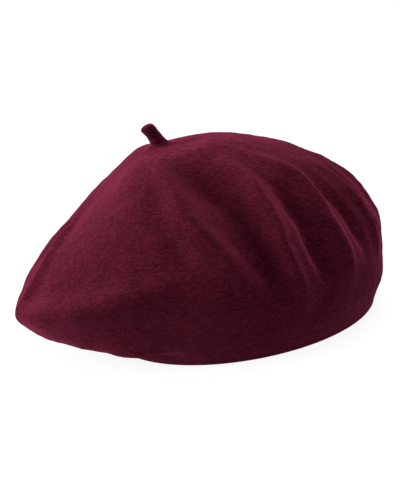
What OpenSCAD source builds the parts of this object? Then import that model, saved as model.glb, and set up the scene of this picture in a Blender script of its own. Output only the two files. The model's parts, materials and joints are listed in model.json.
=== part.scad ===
// Felted wool beret, draped to one side, with its lining, sweatband, stalk and labels.
// Millimetres. The origin is the middle of the head opening, on the plane that the hem rests on.
// +Z points up through the crown, -Y is the front, and the overhang hangs to -X.

/* [Size] */
// Head size, measured round the inside of the sweatband
head_size = 570; // [540:10:600]
// Height of the crown above the lower edge of the hem
crown_height = 139; // [128:1:150]
// Reach of the overhang from the middle of the head opening
reach_left = 168; // [156:1:180]
// Reach of the rim on the side away from the overhang
reach_right = 110; // [106:1:120]
// Reach of the rim at the back
reach_back = 117; // [110:1:126]
// Reach of the rim at the front
reach_front = 111; // [106:1:120]

/* [Felt] */
// Thickness of the felt
felt_thickness = 2.6; // [2:0.1:3]
// Height of the edge that is turned in at the hem
hem_turn = 12; // [9:1:14]
// Strength of the gathers, from none to full
fold_strength = 1; // [0:0.1:1]
// How far the underside of the overhang sags towards its front
overhang_sag = 10; // [0:1:12]

/* [Stalk] */
// Distance of the stalk from the middle of the head opening, towards the overhang
stalk_offset = 39; // [30:1:45]
// Distance of the stalk behind the middle
stalk_behind = 10; // [0:1:14]
// Length of the stalk above its foot
stalk_length = 20.5; // [12:0.5:24]
// Thickness of the stalk
stalk_diameter = 10; // [7:0.5:10]
// Lean of the stalk towards the overhang, in degrees
stalk_lean = 22; // [0:1:25]

/* [Sweatband] */
// Width of the leather sweatband
band_width = 26; // [20:1:30]
// Thickness of the leather
band_thickness = 1; // [0.8:0.1:1]

/* [Lining] */
// Thickness of the satin
lining_thickness = 0.5; // [0.4:0.1:0.6]
// Space between the satin and the felt
lining_gap = 1; // [0.8:0.1:1.4]

/* [Labels] */
// Width of the care label, which hangs inside the back of the crown
label_width = 24; // [18:1:26]
// Length that the care label hangs down
label_drop = 42; // [30:1:46]

/* [Hidden] */

// Places round the shell, and rows from one station to the next
AROUND = 90;
OUTER_ROWS = 4;
INNER_ROWS = 3;
ROUND = 48;
THREAD_SIDES = 16;

// Layers at the hem, from the head outwards
band_r = head_size / (2 * PI);
band_outer_r = band_r + band_thickness;
lining_r = band_outer_r + 0.2;
hem_inner_r = lining_r + lining_thickness + 0.2;
hem_mid_r = hem_inner_r + felt_thickness;
hem_outer_r = hem_mid_r + felt_thickness + 1.2;
hem_round = 2.6;
band_bottom = 0;

// The stalk turns about a ball foot that sits in a flared hole of the crown
foot_r = 5.9;
foot_room = 0.4;
flare_r = 9;
foot_centre = [-stalk_offset, stalk_behind, crown_height - felt_thickness / 2];

// Stations of the shell from the crown to the hem. Each holds the share of the stalk's offset that
// the middle of the ring keeps, the reach to the right, back, left and front as a share of the full
// reach, and the height at the same four places as a share of the crown's height.
STATIONS = [
    [0.92, [0.10, 0.40, 0.41, 0.28], [0.99, 0.96, 0.90, 0.96]],
    [0.50, [0.56, 0.72, 0.655, 0.63], [0.85, 0.85, 0.70, 0.81]],
    [0.20, [0.84, 0.91, 0.87, 0.865], [0.67, 0.65, 0.495, 0.63]],
    [0.10, [1.00, 1.00, 0.99, 1.00], [0.42, 0.42, 0.27, 0.43]],
    [0.00, [0.99, 0.95, 0.89, 0.975], [0.19, 0.21, 0.125, 0.20]]
];

// The collar that rises straight from the hem: how far it stands out from the hem, and its height at
// the right, back, left and front
COLLAR = [4, [11, 11, 14, 11]];

// Gathers of the felt. Each has its route as pairs of station and angle, its height, which is
// negative for a valley, and its half width
FOLDS = [
    [[[1.2, 250], [2.4, 246], [3.2, 253], [4.2, 262]], -3.5, 13],
    [[[0.6, 261], [2.2, 260], [3.3, 271], [5.0, 281]], 6, 12],
    [[[0.6, 284], [2.1, 281], [3.1, 279], [4.9, 285]], -13, 23],
    [[[1.2, 288], [2.1, 286], [3.1, 284], [4.7, 287]], -5, 10],
    [[[1.1, 313], [2.3, 297], [3.4, 291], [5.2, 293]], 9, 9],
    [[[1.5, 317], [2.6, 308], [3.4, 304], [4.9, 304]], -9, 9],
    [[[1.1, 332], [2.2, 325], [3.2, 316], [4.9, 316]], 6, 8],
    [[[1.8, 338], [2.9, 329], [4.7, 327]], -6, 8],
    [[[1.9, 352], [3.0, 341], [4.8, 338]], 4.5, 7],
    [[[2.0, 358], [3.2, 350], [4.7, 349]], -4, 7],
    [[[2.0, 8], [3.4, 3], [4.9, 3]], 3.5, 7],
    [[[2.0, 22], [4.8, 18]], -5, 8],
    [[[1.8, 40], [5.0, 38]], 4, 9],
    [[[2.4, 58], [4.8, 60]], -5, 9],
    [[[2.7, 80], [5.0, 84]], 4, 10],
    [[[2.7, 104], [4.8, 108]], -4, 9],
    [[[1.3, 154], [2.1, 172], [2.8, 178], [4.4, 179]], -4, 6],
    [[[1.3, 166], [2.1, 186], [2.8, 192], [4.5, 191]], 3.5, 5]
];
FOLD_FADE = 1.2;

// Soft ridge along the front of the overhang, above the darker face that turns under
RIM_RIDGE = [215, 3.95, 9];

// ---- The surface of the shell ----

function ease(from, to, x) =
    let (k = min(max((x - from) / (to - from), 0), 1)) k * k * (3 - 2 * k);
function wrapped(angle) = angle - 360 * floor((angle + 180) / 360);
function all_round(value) = [value, value, value, value];
function unit(v) = v / norm(v);

// How much an angle belongs to the right, the back, the left and the front
function shares(angle) =
    let (right = pow(max(cos(angle), 0), 2))
    let (left = pow(max(-cos(angle), 0), 4))
    let (rest = 1 - right - left)
    sin(angle) > 0 ? [right, rest, left, 0] : [right, 0, left, rest];

function station_ring(s) =
    let (keep = s[0], reach = s[1], middle = -keep * stalk_offset)
    [
        [middle, keep * stalk_behind],
        [
            reach[0] * reach_right - middle,
            reach[1] * reach_back - keep * stalk_behind,
            reach[2] * reach_left + middle,
            reach[3] * reach_front + keep * stalk_behind
        ],
        crown_height * s[2]
    ];

RINGS = concat(
    [[[-stalk_offset, stalk_behind], all_round(flare_r), all_round(crown_height)]],
    [for (s = STATIONS) station_ring(s)],
    [[[0, 0], all_round(hem_outer_r + COLLAR[0]), COLLAR[1]]],
    [[[0, 0], all_round(hem_outer_r), all_round(hem_round)]]
);
HEM = len(RINGS) - 1;

function ring_point(i, angle) =
    i < 0 ? 2 * ring_point(0, angle) - ring_point(1, angle) :
    i > HEM ? 2 * ring_point(HEM, angle) - ring_point(HEM - 1, angle) :
    let (ring = RINGS[i], part = shares(angle), reach = part * ring[1])
    [ring[0][0] + reach * cos(angle), ring[0][1] + reach * sin(angle), part * ring[2]];

// Smooth curve through four neighbouring points
function through(p, k) =
    0.5 * (2 * p[1] + (p[2] - p[0]) * k
        + (2 * p[0] - 5 * p[1] + 4 * p[2] - p[3]) * k * k
        + (3 * p[1] - p[0] - 3 * p[2] + p[3]) * k * k * k);

function sag(angle, s) =
    overhang_sag * exp(-pow(wrapped(angle - 226) / 18, 2)) * exp(-pow((s - 5.1) / 0.7, 2));

// Smooth shape without gathers: s runs from 0 at the stalk to HEM at the hem
function smooth_point(angle, s) =
    let (i = min(floor(s), HEM - 1))
    through([for (j = [i - 1 : i + 2]) ring_point(j, angle)], s - i) - [0, 0, sag(angle, s)];

function smooth_normal(angle, s) =
    let (along = smooth_point(angle, s + 0.04) - smooth_point(angle, max(s - 0.04, 0)))
    let (round = smooth_point(angle + 1, s) - smooth_point(angle - 1, s))
    unit(cross(along, round));

// Distance from the middle of the gathers at station s, to turn an angle into a length
function gather_radius(s) = 20 + 125 * sin(90 * min(s / 4.5, 1));

function fold_height(f, angle, s) =
    let (route = f[0], start = route[0][0], end = route[len(route) - 1][0])
    let (aside = wrapped(angle - lookup(s, route)) * PI / 180 * gather_radius(s))
    let (fade = ease(start, start + FOLD_FADE, s) * (1 - ease(end - FOLD_FADE, end, s)))
    f[1] * exp(-pow(aside / f[2], 2)) * fade;
function rim_ridge_height(angle, s) =
    let (aside = abs(wrapped(angle - RIM_RIDGE[0])))
    RIM_RIDGE[2] * exp(-pow((s - RIM_RIDGE[1]) / 0.32, 2)) * (1 - ease(12, 38, aside));

function gathers(angle, s) =
    fold_strength * ([for (f = FOLDS) fold_height(f, angle, s)] * [for (f = FOLDS) 1]
        + rim_ridge_height(angle, s));

// Point at a depth below the outer face of the felt
function felt_point(angle, s, depth) =
    smooth_point(angle, s) + smooth_normal(angle, s) * (gathers(angle, s) - depth);

function round_point(angle, r, z) = [r * cos(angle), r * sin(angle), z];

// ---- Helpers ----

// Closed solid from one closed loop of points for each angle round the hat. A loop runs down the
// outer side as far as point bottom and back up the inner side, and the faces of both sides are cut
// along the same diagonal, so that thin layers stay clear of each other.
module looped_solid(loops, bottom) {
    count = len(loops[0]);
    turns = len(loops);
    function index(i, j) = (i % turns) * count + j % count;
    polyhedron(
        points = [for (loop = loops) each loop],
        faces = [
            for (i = [0 : turns - 1], j = [0 : count - 1]) each
                j < bottom
                ? [
                    [index(i, j), index(i, j + 1), index(i + 1, j + 1)],
                    [index(i, j), index(i + 1, j + 1), index(i + 1, j)]
                ]
                : [
                    [index(i, j), index(i, j + 1), index(i + 1, j)],
                    [index(i, j + 1), index(i + 1, j + 1), index(i + 1, j)]
                ]
        ]
    );
}
function steps(from, to, rows) = [for (k = [0 : rows]) from + (to - from) * k / rows];
function inner_rows(from, to) = [for (k = [from : to]) k / INNER_ROWS];
function backwards(list) = [for (k = [len(list) - 1 : -1 : 0]) list[k]];
function turn(i) = 360 * i / AROUND;

// Straight piece of thread between two points
module thread(from, to, d) {
    way = to - from;
    translate(from)
        rotate([0, acos(way[2] / norm(way)), atan2(way[1], way[0])])
            cylinder(h = norm(way), d = d, $fn = THREAD_SIDES);
}

// ---- Felt ----

// One piece of felt: outer face, hem edge, turned-in edge and inner face
function shell_loop(angle) = concat(
    [for (s = steps(0, HEM, HEM * OUTER_ROWS)) felt_point(angle, s, 0)],
    [
        round_point(angle, hem_outer_r - 0.8, 0.7),
        round_point(angle, hem_outer_r - 2.2, 0),
        round_point(angle, hem_inner_r + 1.8, 0),
        round_point(angle, hem_inner_r + 0.5, 0.7),
        round_point(angle, hem_inner_r, hem_round),
        round_point(angle, hem_inner_r, hem_turn - 0.4),
        round_point(angle, hem_mid_r - 0.2, hem_turn)
    ],
    [for (s = backwards(inner_rows(0, (HEM - 1) * INNER_ROWS))) felt_point(angle, s, felt_thickness)],
    [
        [-stalk_offset, stalk_behind, crown_height - felt_thickness]
            + round_point(angle, foot_r + foot_room, 0)
    ]
);

module felt_shell() {
    color("#5a1a2e")
        looped_solid([for (i = [0 : AROUND - 1]) shell_loop(turn(i))], HEM * OUTER_ROWS + 4);
}

// Slanted stitches over the raw edge of the turned-in felt
module hem_stitches() {
    stitches = 60;
    color("#3a0f1c")
        for (i = [0 : stitches - 1])
            let (angle = 360 * i / stitches)
                thread(
                    round_point(angle, hem_mid_r - 1, hem_turn - 0.1),
                    round_point(angle + 2, hem_mid_r + 2.3, hem_turn - 0.1),
                    0.5
                );
}

// ---- Stalk ----

module stalk_profile() {
    r = stalk_diameter / 2;
    tip_r = r + 0.3;
    tip_z = stalk_length - tip_r;
    intersection() {
        union() {
            circle(r = foot_r, $fn = ROUND);
            polygon([[0, 0], [r + 0.6, 0], [r + 0.1, tip_z * 0.6], [tip_r, tip_z], [0, tip_z]]);
            translate([0, tip_z]) circle(r = tip_r, $fn = ROUND);
        }
        translate([0, -foot_r]) square([foot_r, stalk_length + foot_r]);
    }
}

module stalk() {
    color("#5a1a2e")
        translate(foot_centre)
            rotate([0, -stalk_lean, 0])
                rotate_extrude($fn = ROUND)
                    stalk_profile();
}

// Two loops of thread that cross below the foot of the stalk and end in the felt
module stalk_tacking() {
    color("#3a0f1c")
        translate(foot_centre)
            for (side = [45, 135])
                rotate([90, 0, side])
                    rotate([0, 0, 180])
                        rotate_extrude(angle = 180, $fn = ROUND)
                            translate([foot_r + 2.3, 0]) circle(d = 0.8, $fn = THREAD_SIDES);
}

// ---- Sweatband ----

// A strip bent round until its two ends meet at the back
module sweatband() {
    join_gap = 0.4;
    color("#2b1a14")
        difference() {
            rotate_extrude($fn = ROUND)
                translate([band_r, band_bottom]) square([band_thickness, band_width]);
            translate([-join_gap / 2, band_r - 2, band_bottom - 1])
                cube([join_gap, band_thickness + 4, band_width + 2]);
        }
}

// Stitches through band, lining and turned-in felt, flush with the face of the leather
module sweatband_stitches() {
    stitches = 72;
    stitch_z = band_bottom + 4;
    color("#3a0f1c")
        for (i = [0 : stitches - 1])
            let (angle = 360 * (i + 0.5) / stitches)
                thread(
                    round_point(angle, band_r + 0.1, stitch_z),
                    round_point(angle, hem_inner_r + 2, stitch_z),
                    0.7
                );
}

// Zigzag across the join of the band, sunk into the leather
module sweatband_join_stitches() {
    reach = 3;
    pitch = 4;
    y = band_r + band_thickness / 2;
    color("#3a0f1c")
        for (z = [band_bottom + 3 : pitch : band_bottom + band_width - 4])
            thread([-reach, y, z], [reach, y, z + 1.4], 0.5);
}

// ---- Lining ----

SEAM_ROW = 7;
seam_opening = 0.03;
seam_s = SEAM_ROW / INNER_ROWS + seam_opening / 2;

// The satin hangs lower below the foot of the stalk
function lining_depth(s) = felt_thickness + lining_gap + 7 * (1 - ease(0.2, 1.2, s));

function eyelet_point(angle, depth) =
    [-stalk_offset, stalk_behind, crown_height - depth] + round_point(angle, 1, 0);

function tip_loop(angle) =
    let (rows = inner_rows(1, SEAM_ROW))
    concat(
        [eyelet_point(angle, lining_depth(0))],
        [for (s = rows) felt_point(angle, s, lining_depth(s))],
        [for (s = backwards(rows)) felt_point(angle, s, lining_depth(s) + lining_thickness)],
        [eyelet_point(angle, lining_depth(0) + lining_thickness)]
    );

function side_loop(angle) =
    let (upper = SEAM_ROW / INNER_ROWS + seam_opening)
    let (rows = concat([upper], inner_rows(SEAM_ROW + 1, (HEM - 1) * INNER_ROWS - 1)))
    let (edge_z = band_bottom + 3)
    concat(
        [for (s = rows) felt_point(angle, s, lining_depth(s))],
        [
            round_point(angle, lining_r + 3, hem_turn + 6.6),
            round_point(angle, lining_r + lining_thickness, hem_turn + 3),
            round_point(angle, lining_r + lining_thickness, edge_z),
            round_point(angle, lining_r, edge_z),
            round_point(angle, lining_r, hem_turn + 3.6),
            round_point(angle, lining_r + 2.6, hem_turn + 7.2)
        ],
        [for (s = backwards(rows)) felt_point(angle, s, lining_depth(s) + lining_thickness)]
    );

module lining_tip() {
    color("#1d1418")
        looped_solid([for (i = [0 : AROUND - 1]) tip_loop(turn(i))], SEAM_ROW);
}

module lining_side() {
    color("#241a1f")
        looped_solid(
            [for (i = [0 : AROUND - 1]) side_loop(turn(i))],
            (HEM - 1) * INNER_ROWS - SEAM_ROW
        );
}

// Stitches across the seam between the two satin pieces
module lining_seam_stitches() {
    stitches = AROUND;
    reach = 0.035;
    depth = felt_thickness + lining_gap + lining_thickness / 2;
    color("#3a0f1c")
        for (i = [0 : stitches - 1])
            thread(
                felt_point(turn(i), seam_s - reach, depth),
                felt_point(turn(i), seam_s + reach, depth),
                0.4
            );
}

// ---- Labels ----

label_thickness = 0.5;
edge_rod_r = 0.6;
loop_r = 1.8;
loop_thread_d = 0.5;
label_loops = 5;
label_angle = 92;
label_s = seam_s + 0.08;
label_top = felt_point(label_angle, label_s, felt_thickness + lining_gap + lining_thickness + loop_r);
size_tab_angle = 128;
size_tab = [14, 0.6, 14];
size_tab_bottom = band_bottom + band_width - 5.5;

// Small woven tab, tucked behind the top edge of the sweatband
module size_label() {
    color("#d8d2c8")
        rotate([0, 0, size_tab_angle - 90])
            translate([-size_tab[0] / 2, band_outer_r + 0.3, size_tab_bottom])
                cube(size_tab);
}

function loop_place(i) = label_width * ((i + 0.5) / label_loops - 0.5);

// Cloth label that hangs from a rolled top edge, with a needle hole at each thread loop
module care_label() {
    color("#e4dfd6")
        translate(label_top)
            difference() {
                union() {
                    rotate([0, 90, 0])
                        cylinder(h = label_width, r = edge_rod_r, center = true, $fn = ROUND);
                    translate([-label_width / 2, -label_thickness / 2, -label_drop])
                        cube([label_width, label_thickness, label_drop]);
                }
                for (i = [0 : label_loops - 1])
                    translate([loop_place(i) - 0.7, -2, -loop_r - 1.2])
                        cube([1.4, 4, loop_r + 1.2 - edge_rod_r * 0.9]);
            }
}

// Thread loops round the rolled edge of the care label, and tacks through the size tab
module label_stitches() {
    color("#c9c2b6") {
        for (i = [0 : label_loops - 1])
            translate(label_top + [loop_place(i), 0, 0])
                rotate([0, 90, 0])
                    rotate_extrude($fn = ROUND)
                        translate([loop_r, 0]) circle(d = loop_thread_d, $fn = THREAD_SIDES);
        for (x = [-4, 4])
            rotate([0, 0, size_tab_angle - 90])
                thread(
                    [x, band_r + 0.2, size_tab_bottom + 2.5],
                    [x, band_outer_r + 1, size_tab_bottom + 2.5],
                    0.5
                );
    }
}

felt_shell();
hem_stitches();
stalk();
stalk_tacking();
sweatband();
sweatband_stitches();
sweatband_join_stitches();
lining_tip();
lining_side();
lining_seam_stitches();
size_label();
care_label();
label_stitches();
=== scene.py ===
"""Looks of the felted wool beret: felt, stalk, satin lining, leather sweatband, labels and stitches.

Shapes are worked out in millimetres and make_piece turns them into the frame's metres. An angle is in
degrees round the hat, from +X at the right through +Y at the back. A station is a place along the
felt, from 0 at the stalk to HEM at the hem. A depth is a distance below the outer face of the felt.
"""
import json
import math

import bmesh
import bpy
import numpy as np
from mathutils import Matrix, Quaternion, Vector, noise


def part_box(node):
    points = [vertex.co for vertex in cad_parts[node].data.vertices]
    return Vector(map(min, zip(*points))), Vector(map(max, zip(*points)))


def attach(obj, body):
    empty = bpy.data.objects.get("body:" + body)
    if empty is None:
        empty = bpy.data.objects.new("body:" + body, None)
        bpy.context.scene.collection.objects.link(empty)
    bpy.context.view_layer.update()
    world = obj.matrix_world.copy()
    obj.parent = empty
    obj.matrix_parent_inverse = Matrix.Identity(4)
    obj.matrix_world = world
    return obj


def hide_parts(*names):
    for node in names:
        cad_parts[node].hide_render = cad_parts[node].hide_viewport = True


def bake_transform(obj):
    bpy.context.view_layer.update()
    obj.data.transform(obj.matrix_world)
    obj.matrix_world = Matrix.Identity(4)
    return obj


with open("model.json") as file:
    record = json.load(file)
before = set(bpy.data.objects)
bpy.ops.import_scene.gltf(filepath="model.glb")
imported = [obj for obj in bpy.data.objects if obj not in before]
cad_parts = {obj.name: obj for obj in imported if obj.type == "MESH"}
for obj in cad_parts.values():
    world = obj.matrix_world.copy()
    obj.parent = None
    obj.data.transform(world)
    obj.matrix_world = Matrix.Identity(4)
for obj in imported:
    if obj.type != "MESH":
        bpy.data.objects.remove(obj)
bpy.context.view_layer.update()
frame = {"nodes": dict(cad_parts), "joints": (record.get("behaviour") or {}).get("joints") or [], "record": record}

MM = 0.001

# ---- Sizes ----

JOINTS = {joint["name"]: joint for joint in frame["joints"]}
MOUNTS = {mount["name"]: mount for mount in frame["record"]["mounts"]}


def in_mm(values):
    return np.array(values, float) / MM


def box_mm(node):
    low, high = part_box(node)
    return in_mm(low), in_mm(high)


# Thickness of the felt and the satin, height of the turned-in hem and the room inside its fold
FELT = 2.6
SATIN = 0.5
HEM_TURN = 12
HEM_FOLD = 1.2
CLEARANCE = 0.2
# How far the widest ring reaches from the middle of the head opening
REACH_RIGHT, REACH_BACK, REACH_LEFT, REACH_FRONT = 110, 117, 168, 111
# Sag under the front of the overhang: its depth, and its middle and half width both ways
SAG_DEPTH, SAG_ANGLE, SAG_WIDTH, SAG_STATION, SAG_LENGTH = 10, 226, 18, 5.1, 0.7

stalk_foot = in_mm(JOINTS["stalk_bend"]["pos_m"])
below_stalk = np.array([stalk_foot[0], stalk_foot[1], 0])
crown_height = stalk_foot[2] + FELT / 2
band_high = box_mm("sweatband")[1]
band_r = MOUNTS["head_opening"]["dims"]["r_mm"]
band_outer_r = band_high[0]
band_top = band_high[2]
lining_r = band_outer_r + CLEARANCE
hem_inner_r = lining_r + SATIN + CLEARANCE
hem_mid_r = hem_inner_r + FELT
hem_outer_r = hem_mid_r + FELT + HEM_FOLD
hem_round = 2.6
# The stalk's hole: its radius on the outer and the inner face of the felt
flare_r = 9
hole_r = 6.3
label_low, label_high = box_mm("care_label")
label_top = in_mm(JOINTS["care_label_flap"]["pos_m"])

# ---- The surface of the felt ----

# Stations between the stalk and the collar: the share of the stalk's offset that the middle of the
# ring keeps, the reach to the right, back, left and front as a share of the full reach, and the
# height at the same four places as a share of the crown's height.
STATIONS = [
    [0.92, [0.10, 0.40, 0.41, 0.28], [0.99, 0.96, 0.90, 0.96]],
    [0.50, [0.56, 0.72, 0.655, 0.63], [0.85, 0.85, 0.70, 0.81]],
    [0.20, [0.84, 0.91, 0.87, 0.865], [0.67, 0.65, 0.495, 0.63]],
    [0.10, [1.00, 1.00, 0.99, 1.00], [0.42, 0.42, 0.27, 0.43]],
    [0.00, [0.99, 0.95, 0.89, 0.975], [0.19, 0.21, 0.125, 0.20]],
]
COLLAR_OUT = 4
COLLAR_HEIGHTS = [11, 11, 14, 11]

# Gathers: the route as pairs of station and angle, the height (a valley is negative), the half width
GATHERS = [
    [[[1.2, 250], [2.4, 246], [3.2, 253], [4.2, 262]], -3.5, 13],
    [[[0.6, 261], [2.2, 260], [3.3, 271], [5.0, 281]], 6, 12],
    [[[0.6, 284], [2.1, 281], [3.1, 279], [4.9, 285]], -13, 23],
    [[[1.2, 288], [2.1, 286], [3.1, 284], [4.7, 287]], -5, 10],
    [[[1.1, 313], [2.3, 297], [3.4, 291], [5.2, 293]], 9, 9],
    [[[1.5, 317], [2.6, 308], [3.4, 304], [4.9, 304]], -9, 9],
    [[[1.1, 332], [2.2, 325], [3.2, 316], [4.9, 316]], 6, 8],
    [[[1.8, 338], [2.9, 329], [4.7, 327]], -6, 8],
    [[[1.9, 352], [3.0, 341], [4.8, 338]], 4.5, 7],
    [[[2.0, 358], [3.2, 350], [4.7, 349]], -4, 7],
    [[[2.0, 8], [3.4, 3], [4.9, 3]], 3.5, 7],
    [[[2.0, 22], [4.8, 18]], -5, 8],
    [[[1.8, 40], [5.0, 38]], 4, 9],
    [[[2.4, 58], [4.8, 60]], -5, 9],
    [[[2.7, 80], [5.0, 84]], 4, 10],
    [[[2.7, 104], [4.8, 108]], -4, 9],
    [[[1.3, 154], [2.1, 172], [2.8, 178], [4.4, 179]], -4, 6],
    [[[1.3, 166], [2.1, 186], [2.8, 192], [4.5, 191]], 3.5, 5],
]
GATHER_FADE = 1.2
# Soft ridge along the front of the overhang: angle, station and height
RIM_RIDGE = [215, 3.95, 9]
RIDGE_HALF_WIDTH = 0.32
# Degrees to each side over which the ridge fades out
RIDGE_FADE = (12, 38)


def ease(start, end, x):
    k = np.clip((x - start) / (end - start), 0, 1)
    return k * k * (3 - 2 * k)


def cosine(angle):
    return np.cos(np.radians(angle))


def sine(angle):
    return np.sin(np.radians(angle))


def full_turn(count):
    return np.linspace(0, 360, count, endpoint=False)


def bell(x, middle, half_width):
    """1 at the middle, falling smoothly to nothing on both sides."""
    return np.exp(-(((x - middle) / half_width) ** 2))


def wrapped(angle):
    return (angle + 180) % 360 - 180


def unit(vectors):
    return vectors / np.linalg.norm(vectors, axis=-1, keepdims=True)


def shares(angle):
    """How much each angle belongs to the right, the back, the left and the front."""
    right = np.maximum(cosine(angle), 0) ** 2
    left = np.maximum(-cosine(angle), 0) ** 4
    rest = 1 - right - left
    behind = sine(angle) > 0
    return np.stack([right, np.where(behind, rest, 0), left, np.where(behind, 0, rest)], -1)


def felt_rings():
    """The middle, the four reaches and the four heights of every ring from the stalk to the hem."""
    rings = [(stalk_foot[:2], [flare_r] * 4, [crown_height] * 4)]
    for keep, reach, height in STATIONS:
        x, y = keep * stalk_foot[0], keep * stalk_foot[1]
        reaches = [
            reach[0] * REACH_RIGHT - x,
            reach[1] * REACH_BACK - y,
            reach[2] * REACH_LEFT + x,
            reach[3] * REACH_FRONT + y,
        ]
        rings.append(([x, y], reaches, [crown_height * h for h in height]))
    rings.append(([0, 0], [hem_outer_r + COLLAR_OUT] * 4, COLLAR_HEIGHTS))
    rings.append(([0, 0], [hem_outer_r] * 4, [hem_round] * 4))
    return [np.array(column, float) for column in zip(*rings)]


MIDDLES, REACHES, HEIGHTS = felt_rings()
HEM = len(MIDDLES) - 1


def ring_points(angle):
    """Points of every ring at each angle, with one more ring before the first and after the last."""
    part = shares(angle)
    reach = part @ REACHES.T
    x = MIDDLES[:, 0] + reach * cosine(angle)[:, None]
    y = MIDDLES[:, 1] + reach * sine(angle)[:, None]
    rings = np.stack([x, y, part @ HEIGHTS.T], -1)
    before = 2 * rings[:, :1] - rings[:, 1:2]
    after = 2 * rings[:, -1:] - rings[:, -2:-1]
    return np.concatenate([before, rings, after], 1)


def curve_between(a, b, c, d, k):
    """Smooth curve through four neighbouring points, at the share k of the way from b to c."""
    return 0.5 * (
        2 * b
        + (c - a) * k
        + (2 * a - 5 * b + 4 * c - d) * k**2
        + (3 * b - a - 3 * c + d) * k**3
    )


def smooth_point(angle, station):
    """The felt's shape without gathers. angle and station are arrays of one length."""
    rings = ring_points(angle)
    first = np.minimum(np.floor(station).astype(int), HEM - 1)
    row = np.arange(len(station))
    around = [rings[row, first + j] for j in range(4)]
    points = curve_between(*around, (station - first)[:, None])
    sag = bell(wrapped(angle - SAG_ANGLE), 0, SAG_WIDTH) * bell(station, SAG_STATION, SAG_LENGTH)
    points[:, 2] -= SAG_DEPTH * sag
    return points


def smooth_normal(angle, station):
    """Direction out of the felt, from four points close by."""
    step = 0.04
    along = smooth_point(angle, station + step) - smooth_point(angle, np.maximum(station - step, 0))
    across = smooth_point(angle + 1, station) - smooth_point(angle - 1, station)
    return unit(np.cross(along, across))


def ring_size(station):
    """Roughly how far the felt at a station is from the middle of its ring."""
    narrowest, widening, widest_station = 20, 125, 4.5
    return narrowest + widening * sine(90 * np.minimum(station / widest_station, 1))


def gather_height(gather, angle, station):
    route, height, half_width = gather
    stations, angles = zip(*route)
    start, end = stations[0], stations[-1]
    aside = np.radians(wrapped(angle - np.interp(station, stations, angles))) * ring_size(station)
    fade = ease(start, start + GATHER_FADE, station) * (1 - ease(end - GATHER_FADE, end, station))
    return height * bell(aside, 0, half_width) * fade


def rim_ridge_height(angle, station):
    middle, at, height = RIM_RIDGE
    aside = np.abs(wrapped(angle - middle))
    return height * bell(station, at, RIDGE_HALF_WIDTH) * (1 - ease(*RIDGE_FADE, aside))


def gathers(angle, station):
    heights = [gather_height(gather, angle, station) for gather in GATHERS]
    return sum(heights) + rim_ridge_height(angle, station)


def felt_point(angle, station, depth):
    """Points that far below the outer face of the gathered felt."""
    height = gathers(angle, station) - depth
    return smooth_point(angle, station) + smooth_normal(angle, station) * height[:, None]


def lumps(points, sizes):
    """Smooth uneven heights at the points, from pairs of wavelength and height."""
    total = 0
    for wavelength, height in sizes:
        total += np.array([height * noise.noise(Vector(p) / wavelength) for p in points])
    return total


# ---- Meshes ----


def make_piece(name, points, faces, material, slot, nodes, body="hat"):
    """One closed mesh from points in millimetres, in place of the CAD nodes.

    It rides on the body, unless that is None.
    """
    mesh = bpy.data.meshes.new(name)
    mesh.from_pydata((np.asarray(points, float) * MM).tolist(), [], faces)
    shape = bmesh.new()
    shape.from_mesh(mesh)
    bmesh.ops.remove_doubles(shape, verts=shape.verts, dist=1e-7)
    bmesh.ops.recalc_face_normals(shape, faces=shape.faces)
    shape.to_mesh(mesh)
    shape.free()
    mesh.shade_smooth()
    mesh.materials.append(material)
    piece = bpy.data.objects.new(name, mesh)
    bpy.context.scene.collection.objects.link(piece)
    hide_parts(*nodes)
    if body:
        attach(piece, body)
    return piece


def strip_faces(rows, columns, close_rows=False, close_columns=False):
    """Four-sided faces over a grid of points, joined to the start across a closed edge."""
    faces = []
    for i in range(rows if close_rows else rows - 1):
        for j in range(columns if close_columns else columns - 1):
            i2, j2 = (i + 1) % rows, (j + 1) % columns
            faces.append((i * columns + j, i2 * columns + j, i2 * columns + j2, i * columns + j2))
    return faces


def looped_piece(name, loops, *rest, **options):
    """A piece made of one closed loop of points at each angle all round the hat."""
    loops = np.asarray(loops)
    faces = strip_faces(loops.shape[0], loops.shape[1], close_rows=True, close_columns=True)
    return make_piece(name, loops.reshape(-1, 3), faces, *rest, **options)


def tube(rings):
    """Points and faces of a closed tube through rings of points, with both ends capped."""
    rings = np.asarray(rings)
    count, around = rings.shape[:2]
    faces = strip_faces(count, around, close_columns=True)
    faces.append(tuple(range(around)))
    faces.append(tuple(range((count - 1) * around, count * around)))
    return rings.reshape(-1, 3), faces


def joined(shapes):
    """Several shapes' points and faces as one."""
    points, faces, start = [], [], 0
    for p, f in shapes:
        points.append(p)
        faces += [tuple(start + c for c in face) for face in f]
        start += len(p)
    return np.concatenate(points), faces


def thread_through(path, diameter, sides=10, side=(0, 0, 1)):
    """Round thread along a path that never runs along side, drawn in to a blunt end at both ends."""
    path = np.asarray(path, float)
    along = unit(np.gradient(path, axis=0))
    across = unit(np.cross(along, side))
    up = np.cross(across, along)
    angle = full_turn(sides)
    k = np.linspace(-1, 1, len(path))
    radius = diameter / 2 * np.sqrt(np.maximum(1 - np.abs(k) ** 6, 0.02))
    to_side, to_top = cosine(angle)[None, :, None], sine(angle)[None, :, None]
    circle = to_side * across[:, None] + to_top * up[:, None]
    return tube(path[:, None] + radius[:, None, None] * circle)


def round_points(angle, r, z):
    """Points round the head opening. Any of the three may be an array."""
    angle, r, z = np.broadcast_arrays(*(np.asarray(v, float) for v in (angle, r, z)))
    return np.stack([r * cosine(angle), r * sine(angle), z], -1)


def all_round(angles, profile):
    """The same profile of (radius, height) at every angle, as an array of loops."""
    r, z = np.asarray(profile, float).T
    return round_points(np.asarray(angles)[:, None], r[None], z[None])


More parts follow.
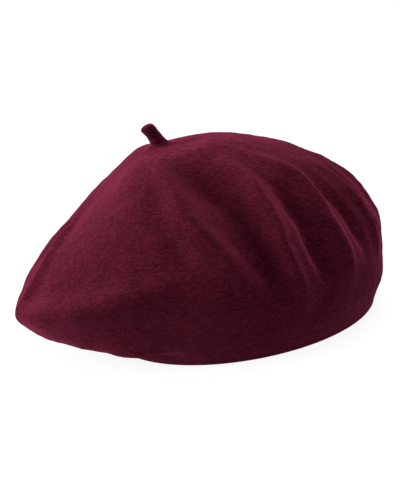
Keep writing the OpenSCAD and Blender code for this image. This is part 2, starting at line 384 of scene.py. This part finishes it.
def curved(points, steps):
    """A smooth curve through a short list of points."""
    p = np.asarray(points, float)
    p = np.concatenate([2 * p[:1] - p[1:2], p, 2 * p[-1:] - p[-2:-1]])
    rows = [curve_between(*p[i : i + 4], k / steps) for i in range(len(p) - 3) for k in range(steps)]
    return np.array(rows + [p[-2]])


def grid(angles, stations):
    """Every angle with every station, as two flat arrays."""
    a, s = np.meshgrid(angles, stations, indexing="ij")
    return a.ravel(), s.ravel()


# ---- Materials ----


# Scale of a wave texture whose ribs are one unit of length apart
RIBS_PER_LENGTH = 0.314


class Shader:
    """A new material and the nodes added to it."""

    def __init__(self, name, **settings):
        self.material = bpy.data.materials.new(name)
        self.material.use_nodes = True
        self.tree = self.material.node_tree
        self.surface = self.tree.nodes["Principled BSDF"]
        for key, value in settings.items():
            self.set(key.replace("_", " ").title(), value)
        self.place = self.add("TexCoord").outputs["Object"]

    def add(self, kind, **settings):
        node = self.tree.nodes.new("ShaderNode" + kind)
        for key, value in settings.items():
            setattr(node, key, value)
        return node

    def link(self, source, target):
        self.tree.links.new(source, target)

    def put(self, socket, value):
        if isinstance(value, bpy.types.NodeSocket):
            self.link(value, socket)
        else:
            socket.default_value = value

    def set(self, name, value):
        names = {"Specular": "Specular IOR Level"}
        self.put(self.surface.inputs[names.get(name, name)], value)

    def stretched(self, x=1, y=1, z=1):
        """The piece's own coordinates, squeezed along an axis by that factor."""
        node = self.add("Mapping")
        self.link(self.place, node.inputs["Vector"])
        node.inputs["Scale"].default_value = (x, y, z)
        return node.outputs["Vector"]

    def noise(self, size, detail=2, roughness=0.5, place=None, distortion=0):
        """Noise whose lumps are about that many millimetres wide."""
        node = self.add("TexNoise")
        self.link(place or self.place, node.inputs["Vector"])
        node.inputs["Scale"].default_value = 1 / (size * MM)
        node.inputs["Detail"].default_value = detail
        node.inputs["Roughness"].default_value = roughness
        node.inputs["Distortion"].default_value = distortion
        return node.outputs["Fac"]

    def cells(self, size):
        """Soft round cells about that many millimetres wide."""
        node = self.add("TexVoronoi", feature="SMOOTH_F1")
        self.link(self.place, node.inputs["Vector"])
        node.inputs["Scale"].default_value = 1 / (size * MM)
        return node.outputs["Distance"]

    def ribs(self, pitch, direction, distortion=0.0):
        """Straight ribs that many millimetres apart."""
        node = self.add("TexWave", bands_direction=direction)
        self.link(self.place, node.inputs["Vector"])
        node.inputs["Scale"].default_value = RIBS_PER_LENGTH / (pitch * MM)
        node.inputs["Distortion"].default_value = distortion
        node.inputs["Detail"].default_value = 1
        return node.outputs["Fac"]

    def spread(self, value, low, high, to_low=0.0, to_high=1.0):
        """The value stretched so that low gives to_low and high gives to_high, and no further."""
        node = self.add("MapRange")
        self.put(node.inputs["Value"], value)
        node.inputs["From Min"].default_value = low
        node.inputs["From Max"].default_value = high
        node.inputs["To Min"].default_value = to_low
        node.inputs["To Max"].default_value = to_high
        return node.outputs["Result"]

    def sum(self, *terms):
        """Sum of (value, weight) pairs."""
        total = 0.0
        for value, weight in terms:
            node = self.add("Math", operation="MULTIPLY_ADD")
            self.put(node.inputs[0], value)
            self.put(node.inputs[1], weight)
            self.put(node.inputs[2], total)
            total = node.outputs[0]
        return total

    def mix(self, share, low, high):
        node = self.add("Mix", data_type="RGBA")
        self.put(node.inputs[0], share)
        self.put(node.inputs[6], (*low, 1) if isinstance(low, tuple) else low)
        self.put(node.inputs[7], (*high, 1) if isinstance(high, tuple) else high)
        return node.outputs[2]

    def bump(self, height, depth, strength=1.0):
        """Fine relief, that many millimetres deep."""
        node = self.add("Bump")
        self.put(node.inputs["Height"], height)
        node.inputs["Distance"].default_value = depth * MM
        node.inputs["Strength"].default_value = strength
        self.set("Normal", node.outputs["Normal"])


def wool_felt(name="wool_felt", shade=1.0):
    """Fulled wool: mottled wine red, darker in the relief's hollows as painted shade, with paler fibres that lie
    mostly along the knit's rounds.
    """
    s = Shader(name, roughness=0.95, specular=0.05)
    # shade below 1 darkens all three colours: a darker copy of the felt as painted shade, used for the stalk.
    deep = tuple(shade * c for c in (0.040, 0.0020, 0.0065))
    wine = tuple(shade * c for c in (0.102, 0.0065, 0.0200))
    pale = tuple(shade * c for c in (0.260, 0.034, 0.078))
    along = s.stretched(z=4)
    clouds = s.noise(17, detail=3, roughness=0.6)
    tufts = s.noise(3.2, detail=3, roughness=0.65, place=s.stretched(z=1.7))
    fibres = s.noise(4.2, detail=5, roughness=0.8, place=along, distortion=0.5)
    specks = s.noise(0.75, detail=2, roughness=0.6)
    # Darker where tufts and fibres run low, as the bump does: partly the wool's own mottled tone, partly painted
    # shade in the hollows between them.
    depth = s.sum((clouds, 0.3), (tufts, 0.35), (fibres, 0.6))
    colour = s.mix(s.spread(depth, 0.42, 0.80), deep, wine)
    light = s.sum((fibres, 0.6), (specks, 0.6))
    colour = s.mix(s.spread(light, 0.56, 0.84, 0, 0.65), colour, pale)
    s.set("Base Color", colour)
    s.set("Sheen Weight", 0.5)
    s.set("Sheen Roughness", 0.4)
    s.set("Sheen Tint", (0.90, 0.10, 0.25, 1))
    s.bump(s.sum((tufts, 0.4), (fibres, 0.45), (specks, 0.15)), 1.5, 0.65)
    return s.material


def satin(name, colour):
    """Smooth satin, with a fine twill and slight streaks along the threads."""
    s = Shader(name, specular=0.5)
    streaks = s.noise(4, detail=3, place=s.stretched(x=6))
    weave = s.ribs(0.45, "DIAGONAL")
    darker = tuple(c * 0.55 for c in colour)
    lighter = tuple(c * 1.5 + 0.004 for c in colour)
    shade = s.sum((streaks, 0.7), (weave, 0.3))
    s.set("Base Color", s.mix(s.spread(shade, 0.25, 0.75), darker, lighter))
    s.set("Roughness", s.spread(streaks, 0.3, 0.7, 0.30, 0.46))
    s.set("Sheen Weight", 0.25)
    s.bump(s.sum((weave, 0.6), (streaks, 0.4)), 0.15, 0.5)
    return s.material


def leather():
    """Thin sweatband leather: pebbled grain, darker pores, and lighter wear along the edges."""
    s = Shader("sweatband_leather", specular=0.35)
    grain = s.cells(1.5)
    pores = s.noise(0.5, detail=2)
    patches = s.noise(14, detail=3)
    brown = s.mix(s.spread(patches, 0.35, 0.68), (0.020, 0.0085, 0.0050), (0.050, 0.022, 0.0120))
    pored = s.mix(s.spread(pores, 0.55, 0.72, 0, 0.5), brown, (0.010, 0.0045, 0.0030))
    height = s.add("SeparateXYZ")
    s.link(s.place, height.inputs[0])
    top_edge = s.spread(height.outputs["Z"], (band_top - 1.2) * MM, (band_top - 0.1) * MM)
    low_edge = s.spread(height.outputs["Z"], 0.9 * MM, 0.1 * MM)
    worn = s.sum((top_edge, 0.5), (low_edge, 0.5))
    s.set("Base Color", s.mix(worn, pored, (0.115, 0.058, 0.032)))
    s.set("Roughness", s.spread(s.sum((grain, 0.6), (patches, 0.4)), 0.2, 0.7, 0.42, 0.62))
    s.bump(s.sum((grain, 0.7), (pores, 0.3)), 0.22, 0.6)
    return s.material


def twisted_thread(name, colour):
    """Spun thread, with the twist as slanting ridges and a few stray fibres' colour."""
    s = Shader(name, roughness=0.7, specular=0.25)
    twist = s.ribs(0.5, "DIAGONAL", distortion=0.4)
    fuzz = s.noise(0.4, detail=3)
    darker = tuple(c * 0.5 for c in colour)
    lighter = tuple(min(c * 1.6 + 0.01, 1) for c in colour)
    s.set("Base Color", s.mix(s.sum((twist, 0.6), (fuzz, 0.4)), darker, lighter))
    s.set("Sheen Weight", 0.3)
    s.bump(s.sum((twist, 0.8), (fuzz, 0.2)), 0.12, 0.7)
    return s.material


def woven_tape(name, colour):
    """Label cloth: fine ribs both ways, slightly soiled."""
    s = Shader(name, roughness=0.75, specular=0.3)
    warp = s.ribs(0.55, "X")
    weft = s.ribs(0.4, "Z")
    soil = s.noise(9, detail=4)
    darker = tuple(c * 0.72 for c in colour)
    cloth = s.mix(s.sum((warp, 0.4), (weft, 0.6)), darker, colour)
    s.set("Base Color", s.mix(s.spread(soil, 0.5, 0.75, 0, 0.22), cloth, (0.42, 0.36, 0.28)))
    s.set("Sheen Weight", 0.2)
    s.bump(s.sum((warp, 0.45), (weft, 0.55)), 0.14, 0.8)
    return s.material


FELT_MATERIAL = wool_felt()
# The stalk's felt is the same wool made darker: painted shade on the stalk.
STALK_FELT_PAINTED_SHADE = wool_felt("stalk_felt", shade=0.86)
TIP_SATIN = satin("tip_satin", (0.018, 0.0065, 0.0100))
SIDE_SATIN = satin("side_satin", (0.024, 0.0090, 0.0135))
LEATHER = leather()
WINE_THREAD = twisted_thread("wine_thread", (0.085, 0.0075, 0.022))
PALE_THREAD = twisted_thread("pale_thread", (0.56, 0.50, 0.42))
LABEL_TAPE = woven_tape("label_tape", (0.74, 0.70, 0.62))

# ---- Felt ----

FELT_TURNS = 450
# Rows of points from each station to the next: fine on the crown, fewer on the collar
FELT_ROWS = [24, 28, 28, 28, 26, 16, 8]
FELT_INNER_ROWS = 24
# Lumps of the fulled wool: how wide and how high
FELT_LUMPS = [[23, 0.9], [9, 0.35], [3.6, 0.22]]


def rows_of_stations():
    stations = [i + k / rows for i, rows in enumerate(FELT_ROWS) for k in range(rows)]
    return np.array(stations + [HEM])


def quarter(middle, radii, start_angle, steps=5):
    """A quarter of an ellipse in (radius, height), both ends left out."""
    angle = start_angle - 90 * np.arange(1, steps) / steps
    return [[middle[0] + radii[0] * cosine(a), middle[1] + radii[1] * sine(a)] for a in angle]


def hem_profile():
    """Round the bottom edge, up inside, and round the raw edge of the turned-in felt."""
    # How far the bottom edge's rounding reaches sideways, outside and inside
    out_r, in_r = 2.2, 1.8
    raw = FELT / 2
    top = HEM_TURN - raw
    under = [[hem_outer_r - out_r, 0], [hem_inner_r + in_r, 0]]
    inside = [[hem_inner_r, z] for z in np.linspace(hem_round, top, 5)]
    edge = [
        [hem_inner_r + raw - raw * cosine(a), top + raw * sine(a)] for a in np.linspace(20, 160, 7)
    ]
    return np.array(
        quarter([hem_outer_r - out_r, hem_round], [out_r, hem_round], 0)
        + under
        + quarter([hem_inner_r + in_r, hem_round], [in_r, hem_round], -90)
        + inside
        + edge
    )


def felt_shell():
    """The shell's outer face, its turned-in hem, its inner face and the hole under the stalk."""
    angles = full_turn(FELT_TURNS)
    stations = rows_of_stations()
    a, s = grid(angles, stations)
    points = felt_point(a, s, np.zeros_like(s))
    normals = smooth_normal(a, s)
    uneven = lumps(points, FELT_LUMPS) * (1 - ease(HEM - 1, HEM, s)) * ease(0, 0.3, s)
    points += normals * uneven[:, None]
    outer = points.reshape(FELT_TURNS, len(stations), 3)
    hem = all_round(angles, hem_profile())
    inner_stations = np.linspace(HEM - 1, 0, FELT_INNER_ROWS)
    a, s = grid(angles, inner_stations)
    inner = felt_point(a, s, np.full_like(s, FELT)).reshape(FELT_TURNS, -1, 3)
    hole = round_points(angles, hole_r, crown_height - FELT)[:, None] + below_stalk
    loops = np.concatenate([outer, hem, inner, hole], 1)
    return looped_piece("felt_body", loops, FELT_MATERIAL, "wool_felt", nodes=["felt_shell"])


# ---- Stalk ----

STALK_SIDES = 64
STALK_LEAN = 22
# Height above the foot, thickness and sideways bend of the stalk
STALK_STEPS = [
    [6.5, 11.0, 0.0],
    [9.5, 10.2, 0.1],
    [12.5, 10.0, 0.3],
    [15.2, 10.5, 0.7],
    [17.0, 10.6, 1.1],
]
STALK_TOP = 20.2
# Rings of the skirt round its foot, from the edge inward: station and height above the felt
SKIRT_STEPS = [[0.12, -0.5], [0.085, -0.05], [0.045, 0.12], [0.0, 0.22]]
# Rings under the foot, from the middle outward: radius and depth below the crown
FOOT_STEPS = [[5.0, 2.3], [6.0, 1.9], [8.6, 0.6]]
# How strongly the curve from the skirt to the stalk sets off inward, and arrives upward
SKIRT_PULL, NECK_PULL = 7, 8
STALK_LUMPS = [[5, 0.45], [2, 0.22]]


def stalk():
    """A skirt that lies on the crown, drawn up into a short stalk with a rounded end."""
    angle = full_turn(STALK_SIDES)
    axis = np.array([-sine(STALK_LEAN), 0, cosine(STALK_LEAN)])
    across = np.array([cosine(STALK_LEAN), 0, sine(STALK_LEAN)])
    back = np.array([0, 1.0, 0])
    circle = cosine(angle)[:, None] * across + sine(angle)[:, None] * back

    def on_crown(station, lift):
        place = np.full_like(angle, station)
        return felt_point(angle, place, np.full_like(angle, -lift))

    def ring(height, thickness, bend):
        return stalk_foot + axis * height - across * bend + circle * thickness / 2

    *skirt, rim = [on_crown(*step) for step in SKIRT_STEPS]
    inward = unit(rim - on_crown(0.05, 0.12)) * SKIRT_PULL
    neck = ring(*STALK_STEPS[0])
    upward = axis * NECK_PULL
    for k in np.linspace(0, 1, 11)[:-1]:
        from_neck = ease(0, 1, k)
        leave, arrive = k * (1 - k) ** 2, k * k * (k - 1)
        skirt.append(rim * (1 - from_neck) + inward * leave + neck * from_neck + upward * arrive)
    steps = curved(STALK_STEPS, 4)
    tube_rings = [ring(*step) for step in steps]
    last_height, last_thickness, last_bend = steps[-1]
    cap = []
    for a in np.linspace(0, 84, 8)[1:]:
        height = last_height + (STALK_TOP - last_height) * sine(a)
        cap.append(ring(height, last_thickness * cosine(a) ** 0.8, last_bend + 0.4 * sine(a)))
    under = [round_points(angle, r, crown_height - z) + below_stalk for r, z in FOOT_STEPS]
    points, faces = tube(under + skirt + tube_rings + cap)
    out = unit(points - stalk_foot)
    above = ease(crown_height + 0.3, crown_height + 3, points[:, 2])
    points = points + out * (lumps(points, STALK_LUMPS) * above)[:, None]
    piece = make_piece(
        "stalk_felt", points, faces, STALK_FELT_PAINTED_SHADE, "wool_felt", nodes=["stalk"], body=None
    )
    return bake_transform(piece)


# ---- Lining ----

LINING_TURNS = 300
LINING_GAP = 1
FOOT_ROOM = 7
COARSE_PLEATS, COARSE_DEPTH = 24, 1.5
FINE_PLEATS, FINE_DEPTH = 58, 0.6
# Station of the seam between the two satins, and how far each edge stays from it
SEAM = 7 / 3 + 0.015
SEAM_OPENING = 0.015


def lining_depth(station):
    """The satin lies close to the felt, and lower below the foot of the stalk."""
    return FELT + LINING_GAP + FOOT_ROOM * (1 - ease(0.2, 1.2, station))


def pleats(angle, station):
    """Shallow uneven pleats of the satin, strongest at its seams."""
    drift = 9 * sine(3 * angle) + 5 * sine(7 * angle + 40)
    coarse = 0.5 + 0.5 * sine(COARSE_PLEATS * angle + 6 * drift)
    fine = 0.5 + 0.5 * sine(FINE_PLEATS * angle + 11 * drift + 60 * station)
    near_seam = bell(station, SEAM, 0.9)
    near_band = ease(4.2, 5.4, station)
    return (COARSE_DEPTH * coarse + FINE_DEPTH * fine) * np.maximum(near_seam, near_band)


def satin_face(angles, stations, extra):
    """One face of the satin, that much further in than its outer face."""
    a, s = grid(angles, stations)
    tuck = bell(s, SEAM, 0.05)
    depth = lining_depth(s) + pleats(a, s) * (1 - 0.75 * tuck) + extra
    return felt_point(a, s, depth).reshape(len(angles), -1, 3)


def lining_tip():
    angles = full_turn(LINING_TURNS)
    stations = np.linspace(0.12, SEAM - SEAM_OPENING, 46)
    middle = round_points(angles, 1, crown_height)[:, None] + below_stalk
    top = middle - [0, 0, lining_depth(0.0)]
    low = top - [0, 0, SATIN]
    outer = satin_face(angles, stations, 0)
    inner = satin_face(angles, stations[::-1], SATIN)
    loops = np.concatenate([top, outer, inner, low], 1)
    return looped_piece("lining_tip_satin", loops, TIP_SATIN, "satin", nodes=["lining_tip"])


def lining_side():
    angles = full_turn(LINING_TURNS)
    last = HEM - 1 - 1 / 3
    stations = np.linspace(SEAM + SEAM_OPENING, last, 60)
    outer = satin_face(angles, stations, 0)
    inner = satin_face(angles, stations[::-1], SATIN)
    down = [
        [lining_r + 3, HEM_TURN + 6.6],
        [lining_r + SATIN + 0.5, HEM_TURN + 3.6],
        [lining_r + SATIN, HEM_TURN],
        [lining_r + SATIN, 3],
    ]
    up = [
        [lining_r, 3],
        [lining_r, HEM_TURN],
        [lining_r + 0.1, HEM_TURN + 3.9],
        [lining_r + 2.6, HEM_TURN + 7.2],
    ]
    loops = np.concatenate(
        [outer, all_round(angles, curved(down, 3)), all_round(angles, curved(up, 3)), inner], 1
    )
    return looped_piece("lining_side_satin", loops, SIDE_SATIN, "satin", nodes=["lining_side"])


def seam_stitches():
    """Small slanting stitches over the seam between the two satins."""
    stitches, slant, reach, rise, thread = 220, 0.25, 0.045, 0.35, 0.45
    shapes = []
    for angle in full_turn(stitches):
        a = angle + np.linspace(-slant, slant, 7)
        s = SEAM + np.linspace(-reach, reach, 7)
        arch = rise * np.sqrt(np.linspace(0, 1, 7) * np.linspace(1, 0, 7)) * 2
        depth = lining_depth(s) + pleats(a, s) * 0.3 + SATIN - 0.15 + arch
        shapes.append(thread_through(felt_point(a, s, depth), thread, sides=8))
    return make_piece(
        "lining_seam_thread", *joined(shapes), WINE_THREAD, "thread", nodes=["lining_seam_stitches"]
    )


# ---- Sweatband ----

BAND_JOIN = 90
BAND_GAP = 0.4
STITCH_LINE = 4
GROOVE_DEPTH, GROOVE_HALF_WIDTH = 0.28, 0.6
# The pressed line: how far below the top edge, how deep and its half width
PRESSED_BELOW, PRESSED_DEPTH, PRESSED_HALF_WIDTH = 2.6, 0.22, 0.35


def sweatband():
    """A leather strip with softened edges, a stitch groove and a pressed line below its top edge."""
    half_gap = math.degrees(BAND_GAP / 2 / band_r)
    angles = BAND_JOIN + np.linspace(half_gap, 360 - half_gap, 541)
    soft = 0.3
    thickness = band_outer_r - band_r
    heights = np.concatenate(
        [
            soft - soft * cosine(np.linspace(0, 90, 5)),
            np.linspace(soft, band_top - soft, 53)[1:-1],
            band_top - soft + soft * sine(np.linspace(0, 90, 5)),
        ]
    )
    edge = np.minimum(heights, band_top - heights)
    rounding = soft - np.sqrt(np.maximum(soft**2 - np.maximum(soft - edge, 0) ** 2, 0))
    groove = GROOVE_DEPTH * bell(heights, STITCH_LINE, GROOVE_HALF_WIDTH)
    pressed = PRESSED_DEPTH * bell(heights - band_top, -PRESSED_BELOW, PRESSED_HALF_WIDTH)
    face_r = band_r + rounding + groove + pressed
    back_r = band_r + thickness - rounding
    wave = 0.25 * sine(5 * angles + 30) + 0.15 * sine(13 * angles)
    lift = ease(12, band_top, heights)
    wavy_r = face_r[None] + wave[:, None] * lift[None] - 0.1
    face = round_points(angles[:, None], wavy_r, heights[None])
    rear = round_points(angles[:, None], back_r[None], heights[None])
    rings = np.concatenate([face, rear[:, ::-1]], 1)
    points, faces = tube(rings)
    return make_piece(
        "sweatband_strip", points, faces, LEATHER, "sweatband_leather", nodes=["sweatband"]
    )


def band_stitches():
    """Running stitches that sink into the leather at both ends."""
    stitches, length, diameter, sunk = 72, 5.2, 0.75, 1.1
    shapes = []
    k = np.linspace(-1, 1, 13)
    for i in range(stitches):
        middle = 360 * (i + 0.5) / stitches
        angle = middle + np.degrees(k * length / 2 / band_r)
        r = band_r + 0.18 + sunk * np.abs(k) ** 4
        z = STITCH_LINE + 0.15 * k
        shapes.append(thread_through(round_points(angle, r, z), diameter))
    return make_piece(
        "sweatband_thread", *joined(shapes), WINE_THREAD, "thread", nodes=["sweatband_stitches"]
    )


def join_stitches():
    """Zigzag that draws the two ends of the sweatband together at the back."""
    reach, pitch, low, sunk, thread = 3, 4, 3, 0.55, 0.6
    zigzag = []
    count = int((band_top - 2 * low) // pitch) * 2 + 1
    for i in range(count + 1):
        side = reach if i % 2 else -reach
        zigzag.append([side, low + i * pitch / 2])
    path = []
    for (x1, z1), (x2, z2) in zip(zigzag, zigzag[1:]):
        for k in np.linspace(0, 1, 9)[:-1]:
            x = x1 + (x2 - x1) * k
            dip = sunk * abs(2 * k - 1) ** 5
            path.append([x, math.sqrt((band_r + 0.1 + dip) ** 2 - x * x), z1 + (z2 - z1) * k])
    return make_piece(
        "sweatband_join_thread",
        *thread_through(path, thread, side=(0, 1, 0)),
        WINE_THREAD,
        "thread",
        nodes=["sweatband_join_stitches"],
    )


# ---- Labels ----


def cloth_tab(width, path, thickness, across, ripple=0.0):
    """A strip of cloth of that width along a path, with rounded long edges."""
    path = np.asarray(path, float)
    along = unit(np.gradient(path, axis=0))
    across = np.asarray(across, float)
    out = unit(np.cross(across, along))
    u = np.linspace(-1, 1, 17)
    half = thickness / 2 * np.sqrt(np.maximum(1 - np.abs(u) ** 8, 0.05))
    rings = []
    for i, centre in enumerate(path):
        share = i / (len(path) - 1)
        bow = ripple * share * np.sin(np.pi * (u * 0.9 + 0.35 * share))
        line = centre + across * (u * width / 2)[:, None] + out[i] * bow[:, None]
        front = line + out[i] * half[:, None]
        rear = line - out[i] * half[:, None]
        rings.append(np.concatenate([front, rear[::-1]]))
    return tube(np.array(rings))


def care_label():
    """Woven tape that hangs from its rolled top edge, a little bowed."""
    width = label_high[0] - label_low[0]
    thickness = 0.42
    drop = label_top[2] - label_low[2]
    k = np.linspace(0, 1, 40)
    roll = [
        [label_top[0], label_top[1] + thickness * sine(a), label_top[2] + thickness * cosine(a)]
        for a in np.linspace(-150, 60, 8)
    ]
    hang = np.stack(
        [
            np.full_like(k, label_top[0]),
            label_top[1] + 0.35 - 0.35 * ease(0, 0.2, k) + 0.9 * np.sin(np.pi * k) * k,
            label_top[2] - 0.3 - (drop - 0.3) * k,
        ],
        -1,
    )
    path = np.concatenate([roll, hang])
    points, faces = cloth_tab(width, path, thickness, (1, 0, 0), ripple=0.5)
    return make_piece(
        "care_label_tape",
        points,
        faces,
        LABEL_TAPE,
        "label_cloth",
        nodes=["care_label"],
        body="care_label_body",
    )


def size_label():
    """Folded tab, tucked behind the top edge of the sweatband."""
    low, high = box_mm("size_label")
    middle = (low + high) / 2
    angle = math.degrees(math.atan2(middle[1], middle[0]))
    across = np.array([-sine(angle), cosine(angle), 0])
    out = np.array([cosine(angle), sine(angle), 0])
    foot = out * (middle[:2] @ out[:2])
    height = high[2] - low[2]
    k = np.linspace(0, 1, 18)
    path = foot + np.stack([0.0 * k, 0.0 * k, low[2] + height * k], -1)
    width, thickness = 14, 0.5
    points, faces = cloth_tab(width, path, thickness, across)
    return make_piece(
        "size_label_tape", points, faces, LABEL_TAPE, "label_cloth", nodes=["size_label"]
    )


def recolour(node, material):
    """A CAD node that keeps its own shape gets this material."""
    slots = frame["nodes"][node].data.materials
    slots.clear()
    slots.append(material)


# ---- Camera, light and floor ----


def camera():
    """From the front and a little above, turned slightly about its own line of sight."""
    view = bpy.data.objects.new("camera", bpy.data.cameras.new("camera"))
    bpy.context.scene.collection.objects.link(view)
    view.data.lens = 135
    view.data.sensor_width = 36
    view.data.clip_end = 50
    elevation, roll, distance = 16.4, 10, 1361
    aim = Vector((-23.2, 0, 62.2)) * MM
    back = Vector((0, -cosine(elevation), sine(elevation)))
    view.location = aim + back * distance * MM
    view.rotation_mode = "QUATERNION"
    view.rotation_quaternion = Quaternion(-back, math.radians(roll)) @ (-back).to_track_quat("-Z", "Y")
    bpy.context.scene.camera = view


LIGHT_AIM = Vector((0, 0, 0.05))


def area_light(name, place, size, power):
    """A square light at a place in metres, turned to the hat."""
    light = bpy.data.objects.new(name, bpy.data.lights.new(name, "AREA"))
    bpy.context.scene.collection.objects.link(light)
    light.data.size = size
    light.data.energy = power
    light.location = place
    light.rotation_mode = "QUATERNION"
    light.rotation_quaternion = (LIGHT_AIM - Vector(place)).to_track_quat("-Z", "Y")


def studio():
    """Soft key light from the left, two weaker ones low left and high behind, and white all round."""
    bpy.context.scene.view_settings.view_transform = "Standard"
    area_light("key", (-1.45, 0.1, 0.65), 0.9, 19)
    area_light("low", (-1.4, -0.2, 0.15), 0.6, 2.5)
    area_light("fill", (0.4, 0.7, 1.5), 1.0, 15)
    world = bpy.data.worlds.new("studio")
    bpy.context.scene.world = world
    world.use_nodes = True
    tree = world.node_tree
    surroundings = tree.nodes["Background"]
    surroundings.inputs["Color"].default_value = (1, 1, 1, 1)
    rays = tree.nodes.new("ShaderNodeLightPath")
    strength = tree.nodes.new("ShaderNodeMapRange")
    strength.inputs["To Min"].default_value = 0.33
    strength.inputs["To Max"].default_value = 1.0
    tree.links.new(rays.outputs["Is Camera Ray"], strength.inputs["Value"])
    tree.links.new(strength.outputs["Result"], surroundings.inputs["Strength"])


def floor():
    """White paper, bright enough of itself to leave only a faint shadow."""
    half = 6
    # Just below the hem, so that the two faces don't flicker into each other
    below = -0.1 * MM
    corners = [(-half, -half, below), (half, -half, below), (half, half, below), (-half, half, below)]
    mesh = bpy.data.meshes.new("floor")
    mesh.from_pydata(corners, [], [(0, 1, 2, 3)])
    paper = Shader("floor_paper", roughness=0.9, specular=0.0)
    fibre = paper.noise(2, detail=3)
    paper.set("Base Color", paper.mix(fibre, (0.19, 0.19, 0.19), (0.21, 0.21, 0.21)))
    paper.set("Emission Color", (1, 1, 1, 1))
    paper.set("Emission Strength", 0.90)
    mesh.materials.append(paper.material)
    piece = bpy.data.objects.new("floor", mesh)
    bpy.context.scene.collection.objects.link(piece)
    piece.visible_diffuse = False
    piece.visible_glossy = False


# ---- The hat ----

camera()
studio()
floor()
felt_shell()
stalk()
tip = lining_tip()
side = lining_side()
seam = seam_stitches()
band = sweatband()
band_stitches()
join_stitches()
label = care_label()
tab = size_label()
recolour("hem_stitches", WINE_THREAD)
recolour("stalk_tacking", WINE_THREAD)
recolour("label_stitches", PALE_THREAD)
